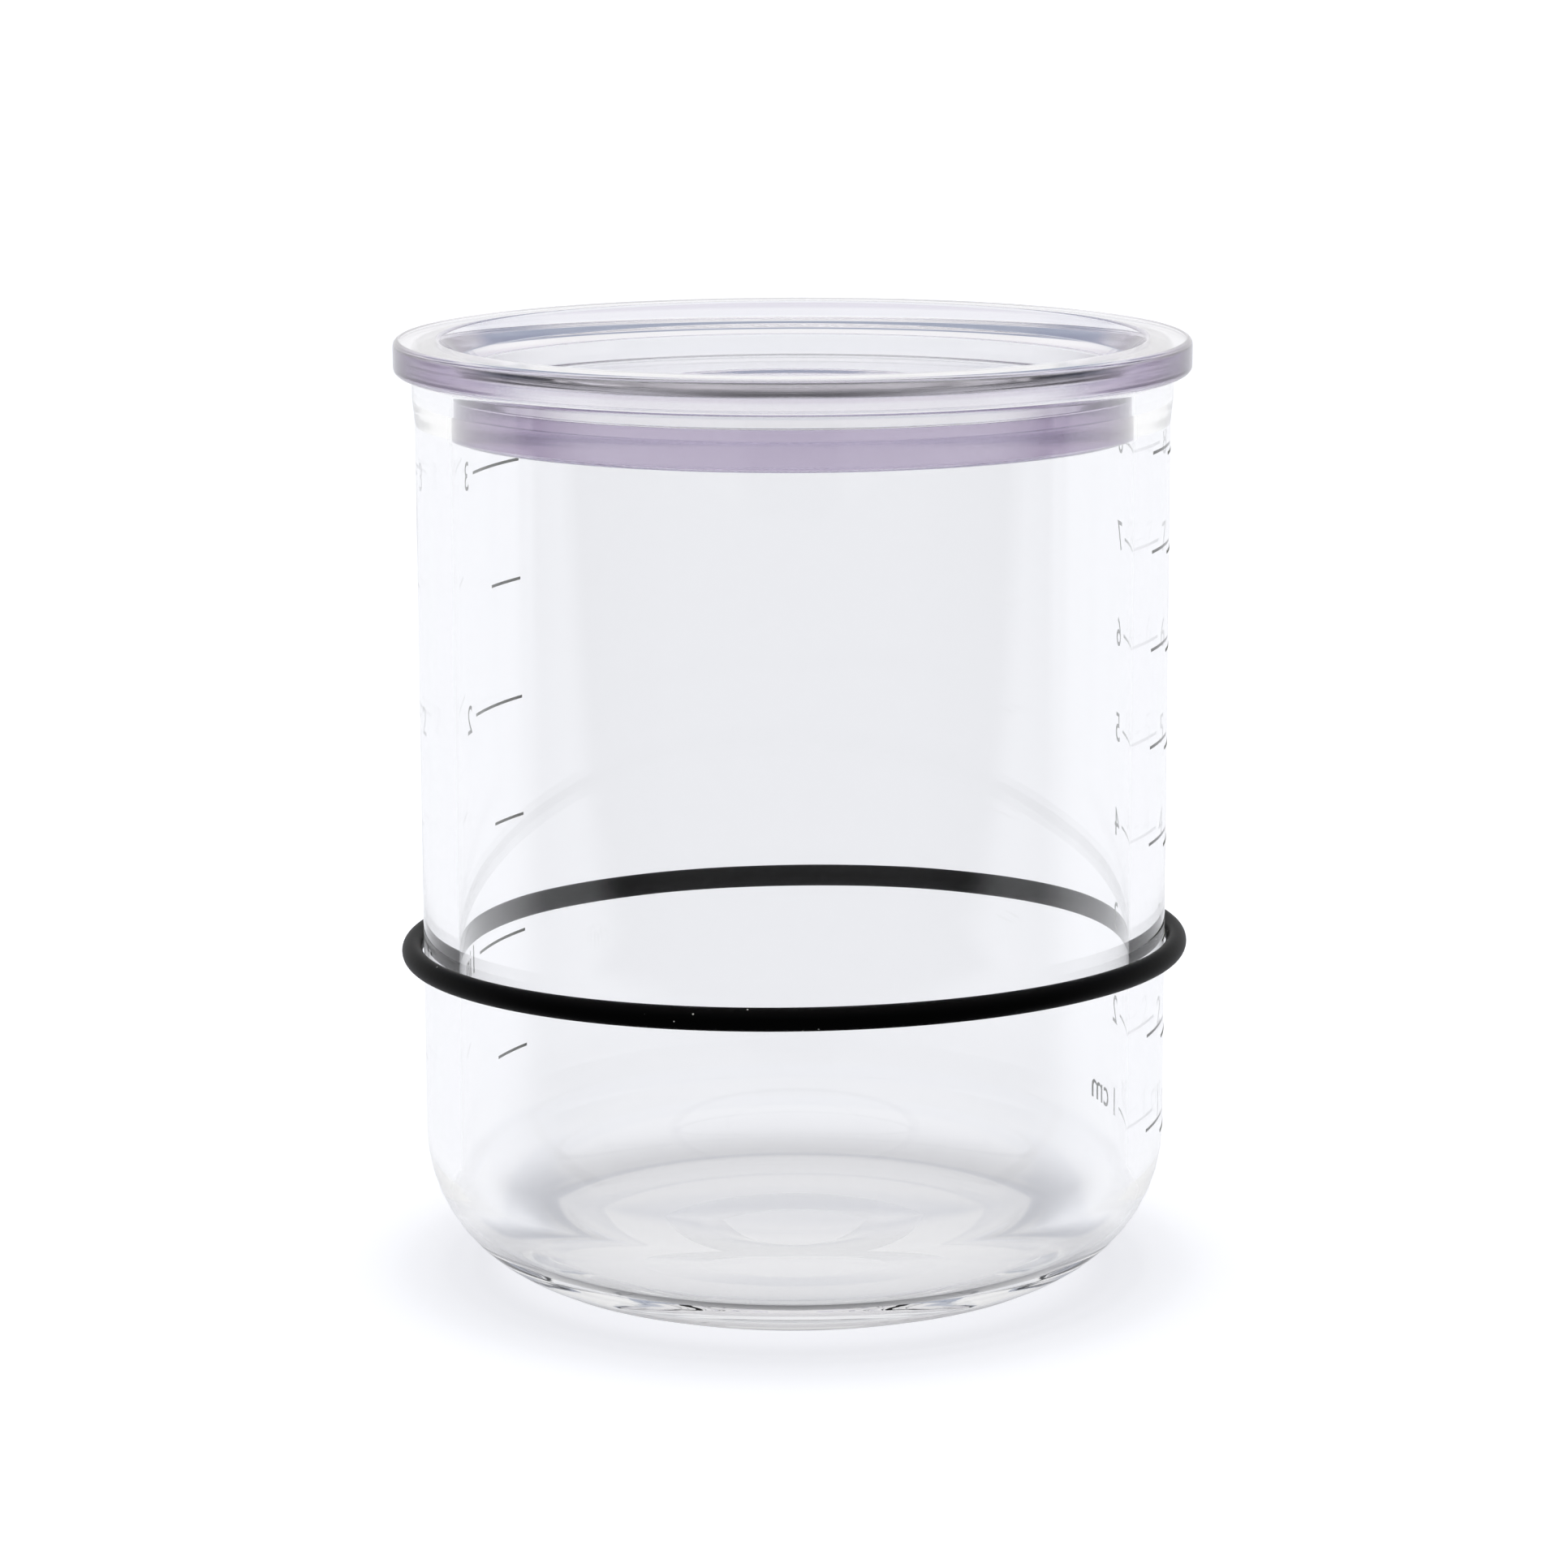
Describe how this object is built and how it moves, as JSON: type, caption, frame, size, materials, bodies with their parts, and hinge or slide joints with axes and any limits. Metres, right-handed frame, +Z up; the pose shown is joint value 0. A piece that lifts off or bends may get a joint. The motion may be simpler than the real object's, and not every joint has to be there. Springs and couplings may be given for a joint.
{
  "type": "sourdough starter jar",
  "caption": "Straight glass jar with a rounded base, a clear drop-in lid with a dished top and a rubber marker band that slides on the wall.",
  "frame": {"origin": "centre of the jar's foot, on the surface that it stands on", "axes": "+Z up along the jar's axis; +X to the right and -Y towards the viewer of the picture"},
  "size_m": [0.0764, 0.0764, 0.0914],
  "materials": {
    "glass": "clear polished borosilicate glass",
    "clear_plastic": "clear plastic with a faint violet tint, glossy",
    "rubber": "black rubber, satin"
  },
  "bodies": {
    "jar": {"glass_jar": "glass"},
    "lid": {"lid": "clear_plastic"},
    "band": {"marker_band": "rubber"}
  },
  "joints": [
    {"name": "lid_lift", "type": "slide", "parent": "jar", "child": "lid", "axis": [0, 0, 1], "range_m": [0, 0.04]},
    {"name": "band_slide", "type": "slide", "parent": "jar", "child": "band", "axis": [0, 0, 1], "range_m": [-0.017, 0.049]}
  ]
}
